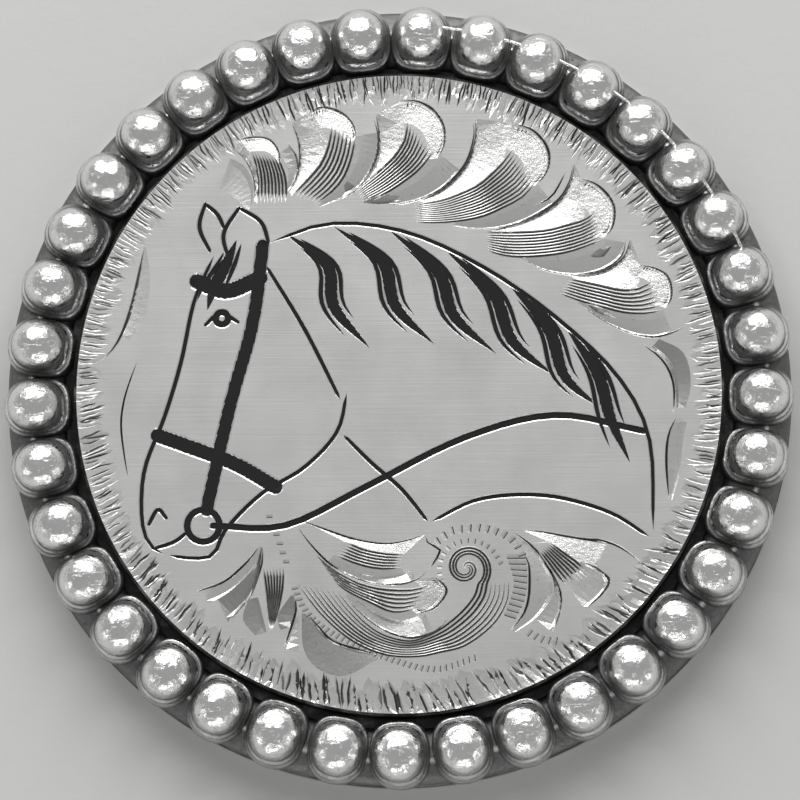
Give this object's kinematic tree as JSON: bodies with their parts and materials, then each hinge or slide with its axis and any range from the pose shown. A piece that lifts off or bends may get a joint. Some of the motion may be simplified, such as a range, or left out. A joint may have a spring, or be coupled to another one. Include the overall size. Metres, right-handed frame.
{
  "type": "concho",
  "caption": "Round silver concho with a beaded rim, an engraved face with leaf scrollwork and a horse's head, and a screw boss on its hollow back.",
  "frame": {"origin": "centre of the back, on the surface that the concho lies on", "axes": "+Z out of the engraved face, +Y to the top of the design, +X to its right as seen from the front"},
  "size_m": [0.038, 0.038, 0.0039],
  "materials": {
    "engraved_silver": "satin silver with bright engraved cuts and black-filled lines",
    "polished_silver": "polished silver, darkened in the recesses"
  },
  "bodies": {
    "root": {"engraved_plate": "engraved_silver", "beaded_rim": "polished_silver"}
  },
  "joints": []
}
